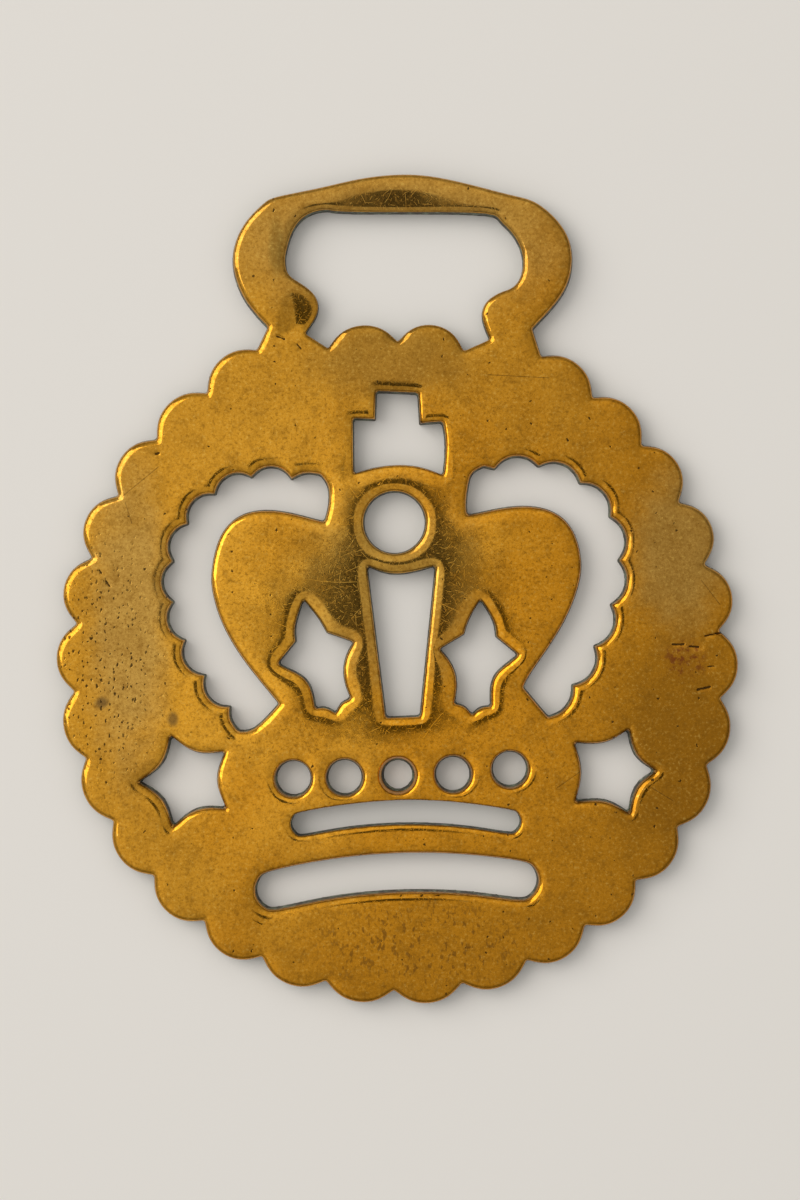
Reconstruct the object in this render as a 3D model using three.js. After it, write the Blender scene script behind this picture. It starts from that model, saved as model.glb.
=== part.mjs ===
import * as THREE from 'three';

// A horse brass: one flat sand casting with a scalloped rim, a pierced crown in the middle and a
// round-shouldered hanger that a harness strap runs through. It lies face up on its plain back.
// Millimetres. +Z is the face side, +Y is the hanger end, and the back is at z = 0. The outlines
// are drawn about a centre near the orb, and the finished casting is moved so that the origin is
// the middle of its outline.

// ---- The casting's section ----

const THICKNESS = 2.45;
const LIP_STEPS = 2; // facets across each worn, rounded edge of the face
const LIP_FALL = 0.8; // how far a lip drops, as a share of its width
const LONGEST_MITRE = 1.4; // how far a sharp corner may move for each millimetre its sides do

// How an edge is shaped from back to face: `draft` is the lean of the wall that let the pattern
// leave the sand, and `lip` is the width of the rounding that wear and polish gave the face.
const BROAD_EDGE = { draft: 0.2, lip: 0.85 };
const CROWN_EDGE = { draft: 0.15, lip: 0.5 };
const FINE_EDGE = { draft: 0.1, lip: 0.3 };
const STRAP_EDGE = { draft: 0, lip: 0.85 };

// ---- The rim: equal lobes, cut by hand, between notches on a circle ----

const RIM_CENTRE = at(0.2, -7.85);
const NOTCH_REACH = 35.45;
const NOTCH_SWAYS = [
  { size: 0.23, waves: 5, turn: -82 },
  { size: 0.19, waves: 2, turn: -173 },
];
const FIRST_NOTCH_TURN = 113.4; // the notch beside the hanger's left leg
const LOBE_TURN = 12; // degrees from notch to notch
const RIM_LOBES = 26; // the other four lie behind the hanger
const LEFT_LEG_NOTCH = at(-15.1, 26); // the hanger's legs fill part of these two notches
const RIGHT_LEG_NOTCH = at(15.9, 25.3);
const LOBE_REACH = 37.25;
const LOBE_SWAYS = [
  { size: 0.25, waves: 1, turn: 90 },
  { size: 0.15, waves: 2, turn: 180 },
];
const LEAST_LOBE_DEPTH = 1.8;
const LEFT_SLOT_LOBE_DEPTH = 2.15; // the two lobes that close the strap slot below
const RIGHT_SLOT_LOBE_DEPTH = 2.35;

// ---- The crown, its crescents and its jewels ----

const ORB = { centre: at(-0.1, 7.15), radius: 3.26 };
const CRESCENT_LOBE_DEPTH = 1.25;
const CRESCENT_HEAD_DEPTH = 0.45;
const CRESCENT_TAIL_DEPTH = 0.85;
const LEFT_SCEPTRE = { foot: at(-6.5, -13.4), tip: at(-9.95, -1.3), lean: -0.3 };
const RIGHT_SCEPTRE = { foot: at(8.3, -13.6), tip: at(9.2, -1.3), lean: 0.25 };

// ---- Below the crown: a star on each side, a row of round holes and two arched slots ----

const LEFT_STAR = { centre: at(-22.65, -20.85), reach: 5.05, dent: 3.05, tilt: 109.3, uneven: 0 };
const STAR_CORNERS = 10; // five points and five dents
const RIGHT_STAR = { centre: at(23.55, -19.85), reach: 4.8, dent: 3, tilt: 0.8, uneven: 0.058 };
const HOLE_RADIUS = 1.98;
const HOLE_CENTRES = [at(-11.1, -20.6), at(-5.5, -20.45), at(0.25, -20.25), at(6.25, -20.1), at(12.4, -19.6)];
const UPPER_SLOT = { left: at(-10.05, -25.5), crest: at(2.6, -24.25), right: at(12.3, -25.25), width: 2.4 };
const LOWER_SLOT = { left: at(-13.1, -32.7), crest: at(2.4, -30.75), right: at(13.4, -31.65), width: 3.9 };

// ---- How finely the curves are cut ----

const RIM_LOBE_STEPS = 5;
const CRESCENT_LOBE_STEPS = 4;
const LONG_BEND_STEPS = 8;
const SHORT_BEND_STEPS = 4;
const SLOT_STEPS = 6;
const SLOT_END_STEPS = 5;
const HOLE_SIDES = 14;
const ORB_SIDES = 24;

function at(x, y) {
  return new THREE.Vector2(x, y);
}

function onCircle(centre, radius, degrees) {
  const turn = THREE.MathUtils.degToRad(degrees);
  return at(Math.cos(turn), Math.sin(turn)).multiplyScalar(radius).add(centre);
}

// A reach that drifts as a hand-made pattern does: each wave comes round `waves` times in a turn.
function drifting(reach, sways, degrees) {
  const drifts = sways.map(({ size, waves, turn }) => {
    return size * Math.cos(THREE.MathUtils.degToRad(waves * degrees - turn));
  });
  return drifts.reduce((sum, drift) => sum + drift, reach);
}

// ---- Strokes: each gives its points in order but for the last, so that strokes join up ----

function bend(from, pullFrom, pullTo, to, steps = LONG_BEND_STEPS) {
  return new THREE.CubicBezierCurve(from, pullFrom, pullTo, to).getPoints(steps).slice(0, -1);
}

// A circular arc that swells by `depth` to the right of the way to `to`, or to the left if below 0.
function lobe(from, to, depth, steps) {
  const chord = to.clone().sub(from);
  const halfChord = chord.length() / 2;
  const radius = (halfChord ** 2 + depth ** 2) / (2 * depth);
  const rightward = at(chord.y, -chord.x).normalize();
  const centre = from.clone().lerp(to, 0.5).addScaledVector(rightward, depth - radius);
  const sweep = 4 * Math.atan2(depth, halfChord);
  const turned = (_, step) => from.clone().rotateAround(centre, (sweep * step) / steps);
  return Array.from({ length: steps }, turned);
}

// The scalloped side of a crescent: equal lobes between notches spaced evenly along a bend.
function scallops(guide, count) {
  const notches = guide.getSpacedPoints(count);
  return notches.slice(1).flatMap((notch, index) => {
    return lobe(notches[index], notch, CRESCENT_LOBE_DEPTH, CRESCENT_LOBE_STEPS);
  });
}

// ---- Outlines at the back: closed loops that run anticlockwise as seen from the face ----

function rimNotch(index) {
  if (index === 0) return LEFT_LEG_NOTCH;
  if (index === RIM_LOBES) return RIGHT_LEG_NOTCH;
  const degrees = FIRST_NOTCH_TURN + LOBE_TURN * index;
  return onCircle(RIM_CENTRE, drifting(NOTCH_REACH, NOTCH_SWAYS, degrees), degrees);
}

function rimLobe(index) {
  const [from, to] = [rimNotch(index), rimNotch(index + 1)];
  const reach = drifting(LOBE_REACH, LOBE_SWAYS, FIRST_NOTCH_TURN + LOBE_TURN * (index + 0.5));
  const depth = reach - from.clone().lerp(to, 0.5).distanceTo(RIM_CENTRE);
  return lobe(from, to, Math.max(depth, LEAST_LOBE_DEPTH), RIM_LOBE_STEPS);
}

function brassOutline() {
  const rightNeck = at(15, 28.1);
  const rightBulge = at(19.3, 35.6);
  const rightShoulder = at(13.9, 42.5);
  const top = at(1.4, 45.05);
  const leftShoulder = at(-13.1, 42.6);
  const leftBulge = at(-17.8, 35.8);
  const leftNeck = at(-14, 28.3);
  const hanger = [
    ...bend(rightNeck, at(15.8, 29.2), at(19.5, 31.9), rightBulge, SHORT_BEND_STEPS),
    ...bend(rightBulge, at(19.8, 39.2), at(15.3, 42.5), rightShoulder, SHORT_BEND_STEPS),
    ...bend(rightShoulder, at(12, 42.8), at(5.2, 45.1), top, SHORT_BEND_STEPS),
    ...bend(top, at(-4, 45.1), at(-7, 43.6), leftShoulder, SHORT_BEND_STEPS),
    ...bend(leftShoulder, at(-14.3, 42.1), at(-17.7, 39.6), leftBulge, SHORT_BEND_STEPS),
    ...bend(leftBulge, at(-17.6, 32), at(-15.8, 30.2), leftNeck, SHORT_BEND_STEPS),
    leftNeck,
  ];
  const rim = Array.from({ length: RIM_LOBES }, (_, index) => rimLobe(index)).flat();
  return [...hanger, ...rim, RIGHT_LEG_NOTCH];
}

// The slot for the strap: a straight top edge for it to bear on, and the rim's lobes below.
function strapSlot() {
  const rightCorner = at(10.2, 27);
  const rightKnob = at(11.3, 32.1);
  const barRight = at(9, 40.7);
  const barLeft = at(-5, 40.7);
  const leftBulge = at(-11.9, 35.8);
  const leftKnob = at(-8.7, 31.8);
  const leftCorner = at(-9.7, 27.6);
  const [leftNotch, middleNotch, rightNotch] = [at(-7.3, 26.05), at(0.25, 26.75), at(7.4, 25.75)];
  return [
    ...bend(rightCorner, at(9, 29.4), at(8.9, 31), rightKnob, SHORT_BEND_STEPS),
    ...bend(rightKnob, at(15.1, 32.5), at(14.8, 39.2), barRight),
    barRight,
    ...bend(barLeft, at(-10.4, 41.9), at(-11.4, 38.9), leftBulge),
    ...bend(leftBulge, at(-12.1, 33.3), at(-10.7, 33.9), leftKnob, SHORT_BEND_STEPS),
    ...bend(leftKnob, at(-7.5, 29.6), at(-9.7, 28.3), leftCorner, SHORT_BEND_STEPS),
    leftCorner,
    ...lobe(leftNotch, middleNotch, -LEFT_SLOT_LOBE_DEPTH, RIM_LOBE_STEPS),
    ...lobe(middleNotch, rightNotch, -RIGHT_SLOT_LOBE_DEPTH, RIM_LOBE_STEPS),
    rightNotch,
  ];
}

// A crescent hugs one side of the crown: its inner side is the crown's lobe, and its outer side
// is scalloped.
function leftCrescent() {
  const foot = at(-12.8, -12.5);
  const crownSide = at(-20.1, 1.5);
  const crownTop = at(-7.8, 7.4);
  const head = at(-8.2, 12.2);
  const firstNotch = at(-11.3, 11.7);
  const lastNotch = at(-17.8, -12.7);
  const guide = new THREE.CubicBezierCurve(firstNotch, at(-18.7, 14.5), at(-32.1, 3), lastNotch);
  return [
    ...bend(foot, at(-16.2, -8.4), at(-20, -4.2), crownSide),
    ...bend(crownSide, at(-19.4, 12.1), at(-10.3, 7.8), crownTop),
    ...bend(crownTop, at(-7.3, 8.8), at(-6.9, 11.3), head, SHORT_BEND_STEPS),
    ...lobe(head, firstNotch, CRESCENT_HEAD_DEPTH, 2),
    ...scallops(guide, 8),
    ...bend(lastNotch, at(-18.3, -14.3), at(-16.8, -18.1), foot, CRESCENT_LOBE_STEPS),
  ];
}

function rightCrescent() {
  const footTip = at(16.6, -13.8);
  const firstNotch = at(19.1, -10.4);
  const lastNotch = at(10.8, 12.8);
  const guide = new THREE.CubicBezierCurve(firstNotch, at(33.6, 13), at(11.9, 14.6), lastNotch);
  const head = at(8.5, 12.5);
  const crownTop = at(7.9, 8.1);
  const crownSide = at(20.3, 2.8);
  const foot = at(14, -10.7);
  return [
    ...lobe(footTip, firstNotch, CRESCENT_TAIL_DEPTH, CRESCENT_LOBE_STEPS),
    ...scallops(guide, 7),
    ...lobe(lastNotch, head, CRESCENT_HEAD_DEPTH, 2),
    ...bend(head, at(8, 12), at(7.6, 8.7), crownTop, SHORT_BEND_STEPS),
    ...bend(crownTop, at(10.3, 8.4), at(19.6, 12), crownSide),
    ...bend(crownSide, at(20.1, -3.4), at(14.7, -8.5), foot),
    foot,
  ];
}

// The crown's middle: a cross above the orb, and a tapered stem below it.
function cross() {
  return [
    ...bend(at(-4.45, 12.55), at(-2.2, 13.5), at(2.2, 14.1), at(5.1, 12.4), SHORT_BEND_STEPS),
    at(5.1, 12.4),
    at(5.35, 15.6),
    at(5, 17.95),
    at(2.55, 17.75),
    at(2.35, 21.05),
    at(-2, 21.25),
    at(-2.1, 18.2),
    at(-4.5, 18.3),
  ];
}

function stem() {
  const topRight = at(4.25, 2.35);
  return [
    at(-0.95, -13.9),
    at(2.6, -13.75),
    ...bend(topRight, at(1.6, 1.5), at(-0.6, 0.9), at(-3, 2.35), SHORT_BEND_STEPS),
    at(-3, 2.35),
  ];
}

// A pointed figure on each side of the stem: a notched foot, a waist, two arms and a long head. It
// is drawn upright on the point of its foot, and `lean` shifts its arms sideways.
function sceptre({ foot, tip, lean }) {
  const up = tip.clone().sub(foot);
  const side = (hand) => [
    at(0.8 * hand, 0.85),
    at(1.9 * hand, 1.05),
    at(1.75 * hand, 2.7),
    at(2.1 * hand, 4.5),
    at(3.3 * hand + lean, 5.95),
    at(4.15 * hand + lean, 6.75),
    at(1.65 * hand + lean, 8.5),
    at(1.25 * hand + lean, 10.2),
  ];
  const figure = [at(0, 0), ...side(1), at(0, up.length()), ...side(-1).reverse()];
  const heading = up.angle() - Math.PI / 2;
  return figure.map((corner) => corner.rotateAround(at(0, 0), heading).add(foot));
}

// A five-pointed star. `uneven` shortens its points and closes them up towards the right.
function star({ centre, reach, dent, tilt, uneven }) {
  return Array.from({ length: STAR_CORNERS }, (_, corner) => {
    const turn = THREE.MathUtils.degToRad(tilt + (360 * corner) / STAR_CORNERS);
    const radius = (corner % 2 === 0 ? reach : dent) * (1 - uneven * Math.cos(turn));
    return onCircle(centre, radius, THREE.MathUtils.radToDeg(turn - uneven * Math.sin(turn)));
  });
}

function roundHole(centre, radius, sides) {
  return Array.from({ length: sides }, (_, side) => onCircle(centre, radius, (360 * side) / sides));
}

// A round-ended slot on a shallow arch through the middles of its ends and its crest.
function archedSlot({ left, crest, right, width }) {
  const span = right.clone().sub(left);
  const acrossSpan = at(-span.y, span.x).normalize();
  const share = crest.clone().sub(left).dot(span) / span.lengthSq();
  const rise = crest.clone().sub(left).dot(acrossSpan);
  const depth = rise / (4 * share * (1 - share));
  const arch = [...lobe(left, right, -depth, SLOT_STEPS), right];
  const half = width / 2;
  const lower = [];
  const upper = [];
  for (let index = 0; index < arch.length; index++) {
    const along = arch[Math.min(index + 1, SLOT_STEPS)].clone().sub(arch[Math.max(index - 1, 0)]);
    const outward = at(along.y, -along.x).setLength(half);
    lower.push(arch[index].clone().add(outward));
    upper.unshift(arch[index].clone().sub(outward));
  }
  const rightEnd = lobe(lower.at(-1), upper[0], half, SLOT_END_STEPS).slice(1);
  const leftEnd = lobe(upper.at(-1), lower[0], half, SLOT_END_STEPS).slice(1);
  return [...lower, ...rightEnd, ...upper, ...leftEnd];
}

// ---- The casting: every outline drawn in step by step from back to face ----

// Moves a loop sideways into the metal, which lies to the left of its way round.
function drawnIn(loop, distance) {
  return loop.map((corner, index) => {
    const before = corner.clone().sub(loop.at(index - 1)).normalize();
    const after = loop[(index + 1) % loop.length].clone().sub(corner).normalize();
    const mitre = at(-before.y - after.y, before.x + after.x);
    const reach = Math.min(2 / mitre.length(), LONGEST_MITRE);
    return corner.clone().add(mitre.setLength(distance * reach));
  });
}

// The levels of one edge: the back, the top of the drafted wall, and each step over the lip.
function edgeLevels(outline, { draft, lip }) {
  const levels = [{ height: 0, corners: outline }];
  for (let step = 0; step <= LIP_STEPS; step++) {
    const turn = (Math.PI / 2) * (step / LIP_STEPS);
    const inset = draft + lip * (1 - Math.cos(turn));
    const height = THICKNESS - lip * LIP_FALL * (1 - Math.sin(turn));
    levels.push({ height, corners: drawnIn(outline, inset) });
  }
  return levels;
}

function castSolid(outline, openings) {
  const edges = [edgeLevels(outline.corners, outline.edge)];
  for (const { corners, edge } of openings) edges.push(edgeLevels([...corners].reverse(), edge));
  const levelCount = LIP_STEPS + 2;
  const positions = [];
  const triangles = [];
  const firstOfLevel = [];
  for (let level = 0; level < levelCount; level++) {
    firstOfLevel.push(positions.length / 3);
    for (const { height, corners } of edges.map((levels) => levels[level])) {
      for (const corner of corners) positions.push(corner.x, corner.y, height);
    }
  }
  for (let level = 0; level < levelCount - 1; level++) {
    let loopStart = 0;
    for (const levels of edges) {
      const count = levels[level].corners.length;
      for (let index = 0; index < count; index++) {
        const [here, next] = [index, (index + 1) % count].map((place) => loopStart + place);
        const [low, high] = [firstOfLevel[level], firstOfLevel[level + 1]];
        triangles.push(low + here, low + next, high + next, low + here, high + next, high + here);
      }
      loopStart += count;
    }
  }
  const sheet = (level) => {
    const [rim, ...holes] = edges.map((levels) => levels[level].corners);
    return THREE.ShapeUtils.triangulateShape([...rim], holes.map((hole) => [...hole]));
  };
  for (const [a, b, c] of sheet(0)) triangles.push(c, b, a);
  for (const face of sheet(levelCount - 1)) {
    triangles.push(...face.map((index) => index + firstOfLevel[levelCount - 1]));
  }
  const geometry = new THREE.BufferGeometry();
  geometry.setAttribute('position', new THREE.Float32BufferAttribute(positions, 3));
  geometry.setIndex(triangles);
  geometry.computeVertexNormals();
  return geometry;
}

const outline = { corners: brassOutline(), edge: BROAD_EDGE };
const openings = [
  { corners: strapSlot(), edge: STRAP_EDGE },
  { corners: leftCrescent(), edge: BROAD_EDGE },
  { corners: rightCrescent(), edge: BROAD_EDGE },
  { corners: cross(), edge: CROWN_EDGE },
  { corners: roundHole(ORB.centre, ORB.radius, ORB_SIDES), edge: CROWN_EDGE },
  { corners: stem(), edge: CROWN_EDGE },
  { corners: sceptre(LEFT_SCEPTRE), edge: CROWN_EDGE },
  { corners: sceptre(RIGHT_SCEPTRE), edge: CROWN_EDGE },
  { corners: star(LEFT_STAR), edge: BROAD_EDGE },
  { corners: star(RIGHT_STAR), edge: BROAD_EDGE },
  { corners: archedSlot(LOWER_SLOT), edge: BROAD_EDGE },
  { corners: archedSlot(UPPER_SLOT), edge: FINE_EDGE },
  ...HOLE_CENTRES.map((centre) => ({ corners: roundHole(centre, HOLE_RADIUS, HOLE_SIDES), edge: FINE_EDGE })),
];

const polishedBrass = new THREE.MeshStandardMaterial({ color: 0xb98a2e, roughness: 0.34, metalness: 1 });
const casting = new THREE.Mesh(castSolid(outline, openings), polishedBrass);
casting.name = 'horse_brass';
const middle = new THREE.Box2().setFromPoints(outline.corners).getCenter(at(0, 0));
casting.position.set(-middle.x, -middle.y, 0);

const brass = new THREE.Group();
brass.add(casting);

export default brass;
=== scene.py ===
import math

import bmesh
import bpy
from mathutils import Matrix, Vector


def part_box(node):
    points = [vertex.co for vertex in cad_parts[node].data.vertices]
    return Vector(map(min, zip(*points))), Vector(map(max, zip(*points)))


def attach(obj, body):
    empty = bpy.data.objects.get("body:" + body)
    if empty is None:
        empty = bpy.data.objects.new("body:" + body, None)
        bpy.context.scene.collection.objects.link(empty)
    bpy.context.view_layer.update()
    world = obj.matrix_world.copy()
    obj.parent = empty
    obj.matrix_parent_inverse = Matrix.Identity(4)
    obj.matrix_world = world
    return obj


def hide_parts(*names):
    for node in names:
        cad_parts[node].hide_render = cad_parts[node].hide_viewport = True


# A horse brass, lying face up on a pale table. The casting keeps the frame's outlines, which are
# made round, given a fine skin, and worn: lips fall away at every edge, the hanger is domed, and
# the face carries the dents, pits, scratches and tarnish of a long-used sand casting.

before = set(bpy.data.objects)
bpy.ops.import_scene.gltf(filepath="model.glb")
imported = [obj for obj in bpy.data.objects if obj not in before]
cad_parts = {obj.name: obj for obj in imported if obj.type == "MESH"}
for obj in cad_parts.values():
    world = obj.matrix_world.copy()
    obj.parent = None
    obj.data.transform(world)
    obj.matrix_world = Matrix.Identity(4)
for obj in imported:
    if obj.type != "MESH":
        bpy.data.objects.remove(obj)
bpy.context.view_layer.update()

MM = 0.001
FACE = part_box("horse_brass")[1].z / MM

# ---- How the casting is worked ----

SAME_LEVEL = 1e-6  # metres; corners of one level of a wall lie closer in height than this
SHARP_TURN = math.radians(40)  # an outline that turns more than this at a corner stays sharp there
SKIN_GRAIN = 0.16 * MM  # how fine the worked skin is
LIP_CRISPNESS = 0.25  # how much of the frame's coarse lip is left before the edges are rubbed
FACE_WEAR = 30  # strokes of polish over all of the face's edges
BROAD_WEAR = 65  # more strokes, round the rim and at the crown's middle
HANGER_WEAR = 35  # more strokes over the hanger
BACK_WEAR = 8  # strokes over the back's edges
HANGER_FOOT = 27.6  # millimetres up the casting, where the hanger starts
BACK_REACH = 1.2  # millimetres; the skin below this height is worn with the back
FACE_REACH = 0.6  # millimetres; the skin above this height is worn with the face
DISC_MIDDLE = -8.0  # how high up the casting the disc's middle is, in millimetres
RIM_STARTS = 28.5  # millimetres from the disc's middle
CROWN_MIDDLE = -3.5  # how high up the crown's middle is, in millimetres
CROWN_REACH = 16.5  # how far its broad lips reach to each side, in millimetres
GASH_SPREAD = 1.6  # how far a cut dents the metal, in its own widths
MOST_TRIANGLES = 190000

# Cuts and cracks in the face: where each starts and ends, its width and its depth, in millimetres.
GASHES = (
    ((33.3, -5.1), (35.2, -4.7), 0.1, 0.35),
    ((29.8, -6.0), (31.0, -6.0), 0.13, 0.15),
    ((31.6, -6.2), (32.6, -6.3), 0.11, 0.12),
    ((32.5, -10.9), (33.8, -10.6), 0.15, 0.15),
    ((33.6, -8.4), (34.2, -8.35), 0.09, 0.08),
    ((-13.0, 27.3), (-12.2, 27.0), 0.11, 0.12),
    ((-10.8, 26.4), (-10.4, 25.95), 0.1, 0.12),
    ((-26.1, 14.6), (-25.8, 14.65), 0.16, 0.1),
    ((-32.2, 2.0), (-32.0, 1.7), 0.12, 0.08),
    ((-31.5, 0.8), (-31.1, 0.3), 0.13, 0.1),
)
# The round holes narrow towards the back: where each is, and how wide it is there.
NARROWING_HOLES = (
    ((-10.8, -20.3), 0.9),
    ((-5.8, -20.7), 0.9),
    ((0.2, -20.1), 0.76),
    ((5.9, -20.5), 0.9),
    ((12.3, -19.2), 0.9),
)
HOLE_REACH = 3.0
# Patches of tarnish, stain and pits, and patches of painted shade and painted reflection: the
# middle of each, how far it reaches across and up, and how ragged its edge is, in millimetres.
PATCHES = {
    "low right": ((30.0, -18.0), (9.0, 14.0), 0.7),
    "left haze": ((-29.0, -3.0), (5.0, 19.0), 0.6),
    "right haze": ((30.5, 4.0), (6.0, 10.0), 0.6),
    "hanger haze": ((0.0, 38.0), (22.0, 9.0), 0.3),
    # painted shade: darkens the face above the cross
    "painted shade over the cross": ((-1.0, 25.0), (10.0, 5.0), 0.6),
    # painted shade along the inner side of the hanger's left leg
    "painted shade along the leg's inner edge": ((-13.1, 36.8), (0.9, 3.6), 0.3),
    # painted reflection: stands in for the camera's dark front, darkening the face next to the orb
    "painted camera reflection beside the orb": ((-1.0, 0.0), (11.5, 12.0), 0.7),
    "rusty stain": ((31.2, -7.8), (2.4, 2.6), 1.4),
    "brown spot": ((-24.2, -14.1), (0.75, 1.0), 0.7),
    "grey spot": ((-32.0, -12.3), (0.9, 0.8), 1.2),
    "left pits": ((-32.0, -8.0), (7.0, 16.0), 0.8),
    "low pits": ((3.0, -38.5), (14.0, 5.5), 0.8),
}
PATCH_DEPTH = 50.0  # far more than the casting's thickness, so that a patch goes right through
# Deep, fine scratches: where each starts and ends.
LONG_SCRATCHES = (
    ((32.9, 0.9), (34.9, -1.7)),
    ((-29.7, 10.0), (-25.8, 13.2)),
    ((-29.4, 9.3), (-28.7, 7.1)),
    ((17.3, -21.5), (19.9, -19.7)),
    ((9.8, 23.15), (16.4, 22.8)),
    ((27.5, -21.5), (29.8, -22.9)),
)


def take_up(piece):
    """Leaves this piece alone selected and active, as the operators expect."""
    bpy.ops.object.select_all(action="DESELECT")
    piece.select_set(True)
    bpy.context.view_layer.objects.active = piece


def work(piece, kind, **settings):
    """Adds a modifier with its settings to the piece in hand and applies it."""
    modifier = piece.modifiers.new(kind.lower(), kind)
    for name, value in settings.items():
        setattr(modifier, name, value)
    bpy.ops.object.modifier_apply(modifier=modifier.name)


def level_neighbours(corner):
    """The corners beside this one on the same level of a wall."""
    ends = [edge.other_vert(corner) for edge in corner.link_edges]
    return [end for end in ends if abs(end.co.z - corner.co.z) < SAME_LEVEL]


def turns_sharply(corner):
    before, after = level_neighbours(corner)
    return (corner.co - before.co).angle(after.co - corner.co) > SHARP_TURN


def select_where(mesh, parts, wanted):
    """Selects, in edit mode, just the parts of the mesh that are wanted."""
    bpy.ops.mesh.select_all(action="DESELECT")
    for part in parts:
        if wanted(part):
            part.select_set(True)
    bmesh.update_edit_mesh(mesh)


def is_wall_diagonal(edge):
    """True for the slanted edge that splits one quad of a wall in two."""
    for loop in edge.link_loops:
        low = [other.vert for other in loop.face.loops if other is not loop]
        heights = [vert.co.z for vert in low]
        if abs(heights[0] - heights[1]) < SAME_LEVEL and loop.vert.co.z > heights[0] + SAME_LEVEL:
            return True
    return False


def walls_of_the_casting():
    """A copy of the frame's casting with its flat faces open: only the walls and lips, in quads."""
    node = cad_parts["horse_brass"]
    piece = bpy.data.objects.new("cast_brass", node.data.copy())
    bpy.context.collection.objects.link(piece)
    piece.data.materials.clear()
    take_up(piece)
    bpy.ops.object.mode_set(mode="EDIT")
    bpy.ops.mesh.select_all(action="SELECT")
    bpy.ops.mesh.remove_doubles(threshold=SAME_LEVEL)
    bpy.context.tool_settings.mesh_select_mode = (False, False, True)
    mesh = bmesh.from_edit_mesh(piece.data)
    select_where(piece.data, mesh.faces, lambda face: abs(face.normal.z) > 0.999)
    bpy.ops.mesh.delete(type="FACE")
    bpy.context.tool_settings.mesh_select_mode = (False, True, False)
    mesh = bmesh.from_edit_mesh(piece.data)
    select_where(piece.data, mesh.edges, is_wall_diagonal)
    bpy.ops.mesh.dissolve_edges(use_verts=False)
    return piece


def raise_the_lips(piece):
    """Takes most of the frame's coarse lips out again, because wear rounds them better."""
    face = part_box("horse_brass")[1].z
    bpy.context.tool_settings.mesh_select_mode = (True, False, False)
    mesh = bmesh.from_edit_mesh(piece.data)
    select_where(piece.data, mesh.verts, lambda corner: corner.co.z > face / 2)
    bpy.ops.transform.resize(value=(1.0, 1.0, LIP_CRISPNESS), center_override=(0.0, 0.0, face))
    bpy.context.tool_settings.mesh_select_mode = (False, True, False)


def narrow_the_holes(piece):
    """Draws the round holes in towards the back, as the sand's cores left them."""
    for (across, up), share in NARROWING_HOLES:
        middle = Vector((across * MM, up * MM, 0.0))

        def at_the_back_of_the_hole(corner):
            return corner.co.z < SAME_LEVEL and (corner.co - middle).length < HOLE_REACH * MM

        bpy.context.tool_settings.mesh_select_mode = (True, False, False)
        mesh = bmesh.from_edit_mesh(piece.data)
        select_where(piece.data, mesh.verts, at_the_back_of_the_hole)
        bpy.ops.transform.resize(value=(share, share, 1.0), center_override=middle)
    bpy.context.tool_settings.mesh_select_mode = (False, True, False)


def round_the_outlines(piece):
    """Makes each lobe and hole a smooth curve through its corners, and keeps the sharp notches."""
    mesh = bmesh.from_edit_mesh(piece.data)
    sharp = {corner for corner in mesh.verts if turns_sharply(corner)}
    places = {}
    for corner in mesh.verts:
        if corner not in sharp:
            before, after = level_neighbours(corner)
            places[corner] = corner.co - (before.co + after.co - 2 * corner.co) / 6
    for corner, place in places.items():
        corner.co = place

    def runs_up_a_notch(edge):
        low, high = edge.verts
        return abs(low.co.z - high.co.z) > SAME_LEVEL and low in sharp and high in sharp

    select_where(piece.data, mesh.edges, runs_up_a_notch)
    bpy.ops.transform.edge_crease(value=1)
    bpy.ops.object.mode_set(mode="OBJECT")
    work(piece, "SUBSURF", levels=2, render_levels=2)


def close_the_faces(piece):
    """Fills the flat back and the flat face inside the rings of wall."""
    bpy.ops.object.mode_set(mode="EDIT")
    for at_the_face in (False, True):
        mesh = bmesh.from_edit_mesh(piece.data)
        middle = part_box("horse_brass")[1].z / 2

        def on_this_rim(edge):
            return edge.is_boundary and (edge.verts[0].co.z > middle) == at_the_face

        select_where(piece.data, mesh.edges, on_this_rim)
        bpy.ops.mesh.fill(use_beauty=False)
    bpy.ops.mesh.select_all(action="SELECT")
    bpy.ops.mesh.normals_make_consistent(inside=False)
    bpy.ops.object.mode_set(mode="OBJECT")


def wear(piece, name, strokes, share):
    """Rubs down the height, never the outline, by the share that each place is worn."""
    group = piece.vertex_groups.new(name=name)
    for vert in piece.data.vertices:
        worn = share(vert.co.x / MM, vert.co.y / MM, vert.co.z / MM)
        if worn > 0:
            group.add([vert.index], min(1.0, worn), "REPLACE")
    work(
        piece, "SMOOTH", factor=0.5, iterations=strokes, use_x=False, use_y=False,
        vertex_group=group.name,
    )
    piece.vertex_groups.remove(piece.vertex_groups[name])


def worn_back(_across, _up, height):
    return float(height < BACK_REACH)


def worn_face(_across, _up, height):
    return float(height > FACE_REACH)


def worn_broadly(across, up, height):
    """The rim of the disc and the openings at the crown's middle have the broadest lips."""
    if height < FACE_REACH or up > HANGER_FOOT:
        return 0.0
    rim = (math.hypot(across, up - DISC_MIDDLE) - RIM_STARTS) / 2
    crown = (CROWN_REACH - max(abs(across), abs(up - CROWN_MIDDLE) - 1.5)) / 2.5
    return max(0.0, rim, crown)


def worn_hanger(_across, up, height):
    return float(height > FACE_REACH) * max(0.0, up - HANGER_FOOT)


def file_down(piece, file_height):
    """Brings the skin down to the height that file_height gives, or None off the file's path."""
    for vert in piece.data.vertices:
        height = file_height(vert.co.x / MM, vert.co.y / MM)
        if height is not None and vert.co.z > height * MM:
            vert.co.z = height * MM


def bar_facet(across, up):
    """The bar leans down to the strap slot, most of all at its middle."""
    if up > 39.5 and abs(across) < 13:
        return FACE - 0.14 * (43.5 - up) + 0.0047 * across**2
    return None


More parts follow.
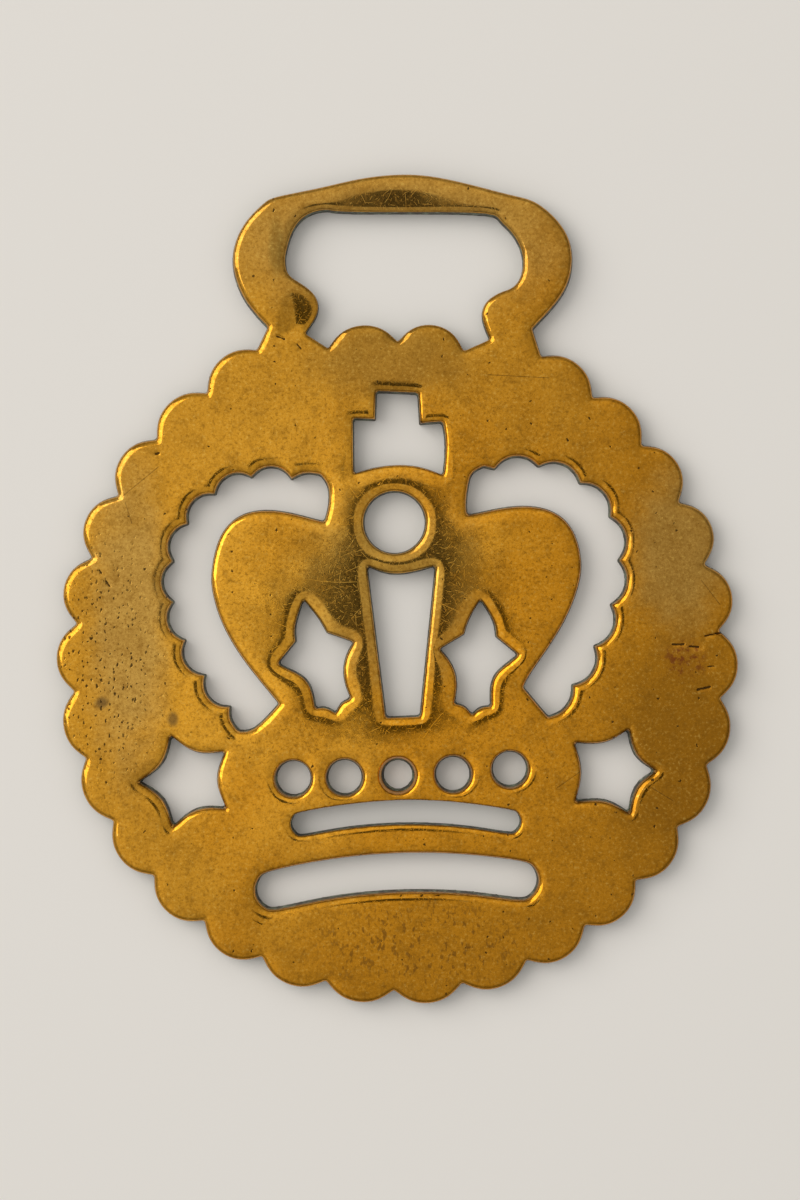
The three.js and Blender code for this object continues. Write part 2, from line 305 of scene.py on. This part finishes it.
def leg_facet(across, up):
    """A knock has left a dip at the foot of the hanger's left leg."""
    if 27.4 < up < 32.6 and -13.5 < across < -7.5:
        dip = FACE - 0.1 * (32.3 - up) - 0.03 * (across + 11.7)
        beside = FACE - 0.45 + 0.3 * (-11.4 - across) + 0.08 * (up - 28)
        return max(dip, beside, FACE - 0.8 * (up - 27.4))
    return None


def cut_gashes(piece):
    for start, end, width, depth in GASHES:
        start, end = Vector((*start, 0)), Vector((*end, 0))
        way = end - start
        spread = GASH_SPREAD * width
        for vert in piece.data.vertices:
            from_start = Vector((vert.co.x / MM, vert.co.y / MM, 0)) - start
            share = min(1, max(0, from_start.dot(way) / way.length_squared))
            beside = (from_start - way * share).length
            if vert.co.z > FACE / 2 * MM and beside < spread:
                vert.co.z -= depth * MM * (1 - beside / spread)


def roll(piece, name, size, strength):
    """Gives the skin the slow unevenness of a cast and hand-filed surface."""
    texture = bpy.data.textures.new(name, "CLOUDS")
    texture.noise_scale = size
    texture.noise_depth = 1
    work(
        piece, "DISPLACE", texture=texture, texture_coords="LOCAL", direction="Z",
        mid_level=0.5, strength=strength,
    )


def make_cast_brass():
    piece = walls_of_the_casting()
    raise_the_lips(piece)
    narrow_the_holes(piece)
    round_the_outlines(piece)
    close_the_faces(piece)
    work(piece, "REMESH", mode="VOXEL", voxel_size=SKIN_GRAIN, use_smooth_shade=True)
    for facet in (bar_facet, leg_facet):
        file_down(piece, facet)
    wear(piece, "back", BACK_WEAR, worn_back)
    wear(piece, "face", FACE_WEAR, worn_face)
    wear(piece, "broad", BROAD_WEAR, worn_broadly)
    wear(piece, "hanger", HANGER_WEAR, worn_hanger)
    cut_gashes(piece)
    roll(piece, "hand_filed_waves", 9 * MM, 0.045 * MM)
    triangles = sum(len(face.vertices) - 2 for face in piece.data.polygons)
    work(piece, "DECIMATE", ratio=min(1.0, MOST_TRIANGLES / triangles))
    bpy.ops.object.shade_smooth()
    return piece


# ---- Making materials ----


def put(tree, kind, inputs=None, **settings):
    """Places a node in a tree, with its settings, values and links."""
    made = tree.nodes.new(kind)
    for name, value in settings.items():
        setattr(made, name, value)
    for socket, value in (inputs or {}).items():
        if isinstance(value, bpy.types.NodeSocket):
            tree.links.new(value, made.inputs[socket])
        else:
            made.inputs[socket].default_value = value
    return made


def maths(tree, operation, a, b=0.0, clamp=False):
    made = put(tree, "ShaderNodeMath", {0: a, 1: b}, operation=operation, use_clamp=clamp)
    return made.outputs[0]


def vectors(tree, operation, a, b=(0.0, 0.0, 0.0)):
    made = put(tree, "ShaderNodeVectorMath", {0: a, 1: b}, operation=operation)
    return made.outputs["Value" if operation in ("LENGTH", "DISTANCE", "DOT_PRODUCT") else 0]


def fade(tree, value, start, end, low=0.0, high=1.0):
    """Goes smoothly from low to high as the value goes from start to end."""
    inputs = {"Value": value, "From Min": start, "From Max": end, "To Min": low, "To Max": high}
    return put(tree, "ShaderNodeMapRange", inputs, interpolation_type="SMOOTHSTEP").outputs[0]


def blend(tree, amount, a, b):
    """Mixes two colours."""
    return put(tree, "ShaderNodeMix", {0: amount, 6: a, 7: b}, data_type="RGBA").outputs[2]


def noise(tree, place, scale, detail=2.0, roughness=0.5, distortion=0.0, output=0):
    inputs = {
        "Vector": place, "Scale": scale, "Detail": detail, "Roughness": roughness,
        "Distortion": distortion,
    }
    return put(tree, "ShaderNodeTexNoise", inputs).outputs[output]


def new_group(name, inputs, outputs):
    """An empty node group: each input is (name, kind, value) and each output is (name, kind)."""
    group = bpy.data.node_groups.new(name, "ShaderNodeTree")
    for label, kind, value in inputs:
        socket = group.interface.new_socket(label, in_out="INPUT", socket_type="NodeSocket" + kind)
        if value is not None:
            socket.default_value = value
    for label, kind in outputs:
        group.interface.new_socket(label, in_out="OUTPUT", socket_type="NodeSocket" + kind)
    given = group.nodes.new("NodeGroupInput").outputs
    result = group.nodes.new("NodeGroupOutput").inputs
    return group, given, result


def use(tree, group, **values):
    """Places a group in a tree, with its values, and gives its outputs."""
    inputs = {name.replace("_", " "): value for name, value in values.items()}
    return put(tree, "ShaderNodeGroup", inputs, node_tree=group).outputs


def casting_pits_group():
    """Small holes that gas left in the casting. Places are in millimetres."""
    group, given, result = new_group(
        "casting pits",
        [("Place", "Vector", None), ("Spacing", "Float", 1.0), ("Largest", "Float", 0.2),
         ("Share", "Float", 0.5), ("Flattening", "Vector", (1.0, 1.0, 1.0))],
        [("Pits", "Float")],
    )
    flattened = vectors(group, "MULTIPLY", given["Place"], given["Flattening"])
    wavering = noise(group, flattened, 3.0, output="Color")
    wavering = vectors(group, "SUBTRACT", wavering, (0.5, 0.5, 0.5))
    moved = vectors(group, "ADD", flattened, vectors(group, "MULTIPLY", wavering, (0.5,) * 3))
    scale = maths(group, "DIVIDE", 1.0, given["Spacing"])
    cells = put(
        group, "ShaderNodeTexVoronoi", {"Vector": moved, "Scale": scale}, voronoi_dimensions="2D"
    )
    chance = put(group, "ShaderNodeSeparateColor", {0: cells.outputs["Color"]})
    from_centre = maths(group, "MULTIPLY", cells.outputs["Distance"], given["Spacing"])
    present = maths(group, "LESS_THAN", chance.outputs[0], given["Share"])
    share = fade(group, chance.outputs[1], 0.0, 1.0, 0.35, 1.0)
    size = maths(group, "MULTIPLY", share, given["Largest"])
    radius = maths(group, "MULTIPLY", size, present)
    inner = maths(group, "MULTIPLY", radius, 0.45)
    outer = maths(group, "ADD", radius, 0.0001)
    group.links.new(fade(group, from_centre, outer, inner), result["Pits"])
    return group


def hairline_scratches_group():
    """Short, slightly bent scratches at every angle. Places are in millimetres."""
    group, given, result = new_group(
        "hairline scratches",
        [("Place", "Vector", None), ("Shift", "Vector", (0.0, 0.0, 0.0)), ("Spacing", "Float", 4.0),
         ("Length", "Float", 3.0), ("Width", "Float", 0.06)],
        [("Scratches", "Float")],
    )
    place = vectors(group, "ADD", given["Place"], given["Shift"])
    scale = maths(group, "DIVIDE", 1.0, given["Spacing"])
    cells = put(
        group, "ShaderNodeTexVoronoi", {"Vector": place, "Scale": scale}, voronoi_dimensions="2D"
    )
    centre = vectors(group, "SUBTRACT", place, cells.outputs["Position"])
    chance = put(group, "ShaderNodeSeparateColor", {0: cells.outputs["Color"]})
    angle = maths(group, "MULTIPLY", chance.outputs[0], 2 * math.pi)
    turned = put(
        group, "ShaderNodeVectorRotate", {"Vector": centre, "Angle": angle}, rotation_type="Z_AXIS"
    )
    along = put(group, "ShaderNodeSeparateXYZ", {0: turned.outputs[0]})
    bow = maths(group, "MULTIPLY", maths(group, "SUBTRACT", chance.outputs[1], 0.5), 0.12)
    bowed = maths(group, "MULTIPLY", maths(group, "POWER", along.outputs[0], 2.0), bow)
    beside = maths(group, "ABSOLUTE", maths(group, "SUBTRACT", along.outputs[1], bowed))
    line = fade(group, beside, given["Width"], 0.0)
    half = maths(group, "MULTIPLY", chance.outputs[2], 0.5)
    reach = maths(group, "MULTIPLY", given["Length"], half)
    from_middle = maths(group, "ABSOLUTE", along.outputs[0])
    ends = fade(group, from_middle, reach, maths(group, "MULTIPLY", reach, 0.6))
    group.links.new(maths(group, "MULTIPLY", line, ends), result["Scratches"])
    return group


def soft_patch_group():
    """A round or oval patch with a ragged edge. Places are in millimetres."""
    group, given, result = new_group(
        "soft patch",
        [("Place", "Vector", None), ("Centre", "Vector", (0.0, 0.0, 0.0)),
         ("Reach", "Vector", (5.0, 5.0, 5.0)), ("Raggedness", "Float", 0.5)],
        [("Patch", "Float")],
    )
    from_centre = vectors(group, "SUBTRACT", given["Place"], given["Centre"])
    from_centre = vectors(group, "DIVIDE", from_centre, given["Reach"])
    ragged = maths(group, "SUBTRACT", noise(group, given["Place"], 0.35, 3.0), 0.5)
    distance = maths(
        group, "ADD", vectors(group, "LENGTH", from_centre),
        maths(group, "MULTIPLY", ragged, given["Raggedness"]),
    )
    group.links.new(fade(group, distance, 1.2, 0.4), result["Patch"])
    return group


def gash_group():
    """A cut from one place to another. Places are in millimetres."""
    group, given, result = new_group(
        "gash",
        [("Place", "Vector", None), ("From", "Vector", (0.0, 0.0, 0.0)),
         ("To", "Vector", (1.0, 0.0, 0.0)), ("Width", "Float", 0.1)],
        [("Gash", "Float")],
    )
    from_start = vectors(group, "SUBTRACT", given["Place"], given["From"])
    from_start = vectors(group, "MULTIPLY", from_start, (1.0, 1.0, 0.0))
    way = vectors(group, "SUBTRACT", given["To"], given["From"])
    share = maths(
        group, "DIVIDE", vectors(group, "DOT_PRODUCT", from_start, way),
        vectors(group, "DOT_PRODUCT", way, way), clamp=True,
    )
    nearest = put(group, "ShaderNodeVectorMath", {0: way, "Scale": share}, operation="SCALE")
    beside = vectors(group, "LENGTH", vectors(group, "SUBTRACT", from_start, nearest.outputs[0]))
    ragged = maths(group, "SUBTRACT", noise(group, given["Place"], 3.0, 3.0), 0.5)
    ragged = maths(group, "MULTIPLY", ragged, 1.6)
    ragged = maths(group, "MULTIPLY", ragged, given["Width"])
    edge = maths(group, "ADD", beside, ragged)
    deepest = maths(group, "MULTIPLY", given["Width"], 0.4)
    group.links.new(fade(group, edge, given["Width"], deepest), result["Gash"])
    return group


def worn_brass():
    material = bpy.data.materials.new("worn_brass")
    material.use_nodes = True
    tree = material.node_tree
    tree.nodes.clear()
    pits_group = casting_pits_group()
    scratches_group = hairline_scratches_group()
    patch_group = soft_patch_group()
    mark_group = gash_group()

    coordinates = put(tree, "ShaderNodeTexCoord")
    place = vectors(tree, "MULTIPLY", coordinates.outputs["Object"], (1 / MM,) * 3)

    def times(a, b):
        return maths(tree, "MULTIPLY", a, b)

    def greater(a, b):
        return maths(tree, "MAXIMUM", a, b)

    def patch(name):
        (across, up), (wide, tall), raggedness = PATCHES[name]
        outputs = use(
            tree, patch_group, Place=place, Centre=(across, up, 0.0),
            Reach=(wide, tall, PATCH_DEPTH), Raggedness=raggedness,
        )
        return outputs["Patch"]

    facing = put(tree, "ShaderNodeSeparateXYZ", {0: coordinates.outputs["Normal"]}).outputs[2]
    across = put(tree, "ShaderNodeSeparateXYZ", {0: place}).outputs
    on_face = times(fade(tree, facing, 0.05, 0.3), fade(tree, across[2], 1.1, 1.5))
    on_back = fade(tree, facing, -0.35, -0.8)

    # The polished metal: yellow on the left, more orange to the right and below, dull brown low on
    # the right, and greyer at the far left and right and on the hanger. Painted shade lies above
    # the cross and along the hanger's left leg, and a painted reflection of the camera's dark front
    # lies next to the orb.
    slow = noise(tree, place, 0.07, 2.0)
    cloudy = noise(tree, place, 0.3, 3.0)
    mottled = noise(tree, place, 1.1, 4.0, 0.65)
    speckled = noise(tree, place, 2.8, 5.0, 0.75)
    fine = noise(tree, place, 6.0, 2.0, 0.6)
    yellow = (0.84, 0.40, 0.03, 1.0)
    orange = (0.74, 0.31, 0.012, 1.0)
    olive = (0.62, 0.37, 0.085, 1.0)
    brown = (0.24, 0.10, 0.006, 1.0)
    rightward = maths(tree, "SUBTRACT", across[0], times(across[1], 0.6))
    rightward = maths(tree, "ADD", rightward, fade(tree, slow, 0.3, 0.7, -14.0, 14.0))
    metal = blend(tree, fade(tree, rightward, -22.0, 16.0), yellow, orange)
    low_right = patch("low right")
    metal = blend(tree, times(low_right, 0.7), metal, (0.36, 0.15, 0.006, 1.0))
    left_haze = patch("left haze")
    right_haze = patch("right haze")
    hanger_haze = patch("hanger haze")
    haze = greater(left_haze, right_haze)
    tint = times(greater(haze, hanger_haze), 0.85)
    metal = blend(tree, tint, metal, olive)
    flat_place = vectors(tree, "MULTIPLY", place, (1.0, 1.0, 0.0))
    from_middle = vectors(tree, "DISTANCE", flat_place, (-4.0, DISC_MIDDLE, 0.0))
    metal = blend(tree, fade(tree, from_middle, 16.0, 36.0, 0.0, 0.38), metal, brown)
    # Painted shade: a dark patch laid over the face above the cross.
    painted_shade_over_cross = patch("painted shade over the cross")
    metal = blend(tree, times(painted_shade_over_cross, 0.45), metal, (0.22, 0.13, 0.03, 1.0))
    # Painted shade: an olive band along the inner side of the hanger's left leg.
    painted_shade_leg_edge = patch("painted shade along the leg's inner edge")
    metal = blend(tree, times(painted_shade_leg_edge, 0.5), metal, (0.20, 0.13, 0.025, 1.0))
    # Painted reflection: an olive darkening next to the orb stands in for the camera's dark front
    # seen in the face.
    painted_reflection_beside_orb = patch("painted camera reflection beside the orb")
    metal = blend(tree, times(painted_reflection_beside_orb, 0.5), metal, (0.36, 0.26, 0.07, 1.0))
    metal = blend(tree, fade(tree, cloudy, 0.42, 0.68, 0.0, 0.22), metal, brown)
    metal = blend(tree, fade(tree, mottled, 0.48, 0.7, 0.0, 0.4), metal, brown)
    metal = blend(tree, fade(tree, speckled, 0.5, 0.68, 0.0, 0.6), metal, brown)
    metal = blend(tree, fade(tree, speckled, 0.48, 0.3, 0.0, 0.35), metal, (0.95, 0.62, 0.14, 1.0))
    metal = blend(tree, fade(tree, fine, 0.5, 0.75, 0.0, 0.35), metal, brown)
    stain = patch("rusty stain")
    rusty = times(stain, fade(tree, mottled, 0.47, 0.6, 0.1, 0.8))
    metal = blend(tree, rusty, metal, (0.20, 0.045, 0.01, 1.0))
    spot = patch("brown spot")
    grey_spot = patch("grey spot")
    spots = greater(spot, grey_spot)
    metal = blend(tree, times(spots, 0.7), metal, (0.11, 0.065, 0.025, 1.0))

    # Pits: many on the left of the rim, long and close below the slots, few elsewhere.
    left_pits = patch("left pits")
    low_pits = patch("low pits")
    few = use(tree, pits_group, Place=place, Spacing=2.3, Largest=0.18, Share=0.35)
    many = use(
        tree, pits_group, Place=place, Spacing=0.6, Largest=0.19, Share=0.45,
        Flattening=(1.25, 0.8, 1.0),
    )
    pits = greater(few["Pits"], times(many["Pits"], left_pits))
    dashes = noise(tree, vectors(tree, "MULTIPLY", place, (2.6, 1.3, 1.0)), 1.0, 2.0, 0.5)
    low = times(fade(tree, dashes, 0.55, 0.66), low_pits)
    metal = blend(tree, times(low, 0.6), metal, (0.14, 0.055, 0.008, 1.0))
    for start, end, width, _ in GASHES:
        cut = use(tree, mark_group, Place=place, From=(*start, 0.0), To=(*end, 0.0), Width=width)
        pits = greater(pits, cut["Gash"])
    pits = times(pits, on_face)
    metal = blend(tree, times(pits, 0.9), metal, (0.03, 0.014, 0.003, 1.0))

    # Scratches, in three sizes.
    short = use(tree, scratches_group, Place=place, Spacing=0.55, Length=0.8, Width=0.025)
    middling = use(
        tree, scratches_group, Place=place, Shift=(31.0, 17.0, 0.0), Spacing=1.8, Length=2.4,
        Width=0.025,
    )
    longest = use(
        tree, scratches_group, Place=place, Shift=(7.0, 53.0, 0.0), Spacing=8.0, Length=12.0,
        Width=0.04,
    )
    scratches = greater(short["Scratches"], middling["Scratches"])
    scratches = greater(scratches, longest["Scratches"])
    dark_lines = 0.0
    for start, end in LONG_SCRATCHES:
        line = use(tree, mark_group, Place=place, From=(*start, 0.0), To=(*end, 0.0), Width=0.06)
        dark_lines = greater(dark_lines, line["Gash"])
    metal = blend(tree, times(dark_lines, 0.6), metal, (0.09, 0.035, 0.004, 1.0))
    scratches = times(scratches, on_face)

    # The walls keep their grey-green verdigris, and the back its dull sand-cast skin.
    dark_green, pale_green = (0.04, 0.05, 0.03, 1.0), (0.22, 0.27, 0.18, 1.0)
    green = blend(tree, fade(tree, speckled, 0.4, 0.6), dark_green, pale_green)
    wall = blend(tree, fade(tree, mottled, 0.45, 0.6), (0.025, 0.022, 0.012, 1.0), green)
    dull_brown, dull_brass = (0.16, 0.085, 0.016, 1.0), (0.30, 0.16, 0.03, 1.0)
    back = blend(tree, fade(tree, speckled, 0.3, 0.7), dull_brown, dull_brass)
    colour = blend(tree, on_face, wall, metal)
    colour = blend(tree, on_back, colour, back)

    rough_face = maths(tree, "ADD", fade(tree, cloudy, 0.3, 0.7, 0.07, 0.11), times(haze, 0.06))
    rough_face = maths(tree, "ADD", rough_face, times(scratches, 0.35))
    rough_face = maths(tree, "ADD", rough_face, fade(tree, speckled, 0.5, 0.7, 0.0, 0.18))
    rough_face = greater(rough_face, times(pits, 0.6))
    roughness = fade(tree, on_face, 0.0, 1.0, 0.6, 0.0)
    roughness = greater(roughness, rough_face)
    metallic = fade(tree, on_face, 0.0, 1.0, 0.0, 0.92)
    metallic = greater(metallic, times(on_back, 0.7))

    # Heights are in millimetres.
    ripple = times(noise(tree, place, 0.5, 2.0), 0.005)
    grain = times(fine, 0.0008)
    height = maths(tree, "ADD", ripple, grain)
    height = maths(tree, "SUBTRACT", height, times(pits, 0.035))
    height = maths(tree, "SUBTRACT", height, times(scratches, 0.0015))
    off_face = maths(tree, "SUBTRACT", 1.0, on_face)
    sandy = times(noise(tree, place, 1.6, 4.0, 0.7), 0.25)
    height = maths(tree, "ADD", height, times(sandy, off_face))
    bump = put(tree, "ShaderNodeBump", {"Strength": 1.0, "Distance": MM, "Height": height})

    shader = put(
        tree, "ShaderNodeBsdfPrincipled",
        {
            "Base Color": colour, "Roughness": roughness, "Metallic": metallic,
            "Normal": bump.outputs[0],
        },
    )
    put(tree, "ShaderNodeOutputMaterial", {"Surface": shader.outputs[0]})
    return material


# ---- The room ----


def plain_material(name, colour, roughness):
    material = bpy.data.materials.new(name)
    material.use_nodes = True
    shader = material.node_tree.nodes["Principled BSDF"]
    shader.inputs["Base Color"].default_value = (*colour, 1.0)
    shader.inputs["Roughness"].default_value = roughness
    return material


def make_table():
    bpy.ops.object.select_all(action="DESELECT")
    bpy.ops.mesh.primitive_plane_add(size=3.0, location=(0.0, 0.0, -0.05 * MM))
    table = bpy.context.object
    table.name = "pale_table"
    table.data.materials.append(plain_material("pale_plaster", (0.80, 0.775, 0.735), 0.85))


# The dark discs of the camera's front: name, how far across and up each is, and its radius, in
# millimetres.
CAMERA_FRONT = (
    ("dark_lens", 0.1, 14.2, 14.4),
    ("dark_body", -2.9, -8.8, 22.4),
)
CAMERA_FRONT_HEIGHT = 304


def make_camera_front():
    """The dark front of the camera, lens over body, which only the polished metal sees."""
    dark = plain_material("dark_camera", (0.01, 0.01, 0.01), 0.9)
    for name, across, up, radius in CAMERA_FRONT:
        bpy.ops.object.select_all(action="DESELECT")
        bpy.ops.mesh.primitive_circle_add(
            vertices=48, radius=radius * MM, fill_type="NGON",
            location=(across * MM, up * MM, CAMERA_FRONT_HEIGHT * MM),
        )
        front = bpy.context.object
        front.name = name
        front.data.materials.append(dark)
        front.visible_camera = False
        front.visible_diffuse = False
        front.visible_shadow = False


def light_the_room():
    world = bpy.data.worlds.new("soft_room")
    world.use_nodes = True
    tree = world.node_tree
    background = tree.nodes["Background"]
    background.inputs["Color"].default_value = (1.0, 0.985, 0.96, 1.0)
    heading = put(tree, "ShaderNodeTexCoord").outputs["Generated"]
    height = put(tree, "ShaderNodeSeparateXYZ", {0: heading}).outputs[2]
    overhead = fade(tree, height, 0.1, 0.8, 0.25, 0.72)
    window_side = vectors(tree, "DOT_PRODUCT", heading, (-0.87, 0.5, 0.0))
    brightness = maths(tree, "MULTIPLY", overhead, fade(tree, window_side, -0.15, 0.15, 0.8, 1.25))
    tree.links.new(brightness, background.inputs["Strength"])
    bpy.context.scene.world = world
    bpy.ops.object.light_add(type="AREA", location=(-0.9, 0.45, 0.85))
    key = bpy.context.object
    key.name = "window_light"
    key.data.shape = "SQUARE"
    key.data.size = 1.1
    key.data.energy = 8.5
    key.data.color = (1.0, 0.97, 0.93)
    key.rotation_euler = (-key.location).to_track_quat("-Z", "Y").to_euler()


def set_the_camera():
    bpy.ops.object.camera_add(
        location=(0.30 * MM, -1.21 * MM, 301.2 * MM), rotation=(0.0, 0.0, 0.0)
    )
    camera = bpy.context.object
    camera.data.lens = 82.9
    camera.data.sensor_width = 36.0
    camera.data.clip_start = 10 * MM
    camera.data.dof.use_dof = False
    bpy.context.scene.camera = camera


brass = make_cast_brass()
brass.data.materials.append(worn_brass())
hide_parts("horse_brass")
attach(brass, "root")
make_table()
make_camera_front()
light_the_room()
set_the_camera()
bpy.context.scene.view_settings.view_transform = "Standard"
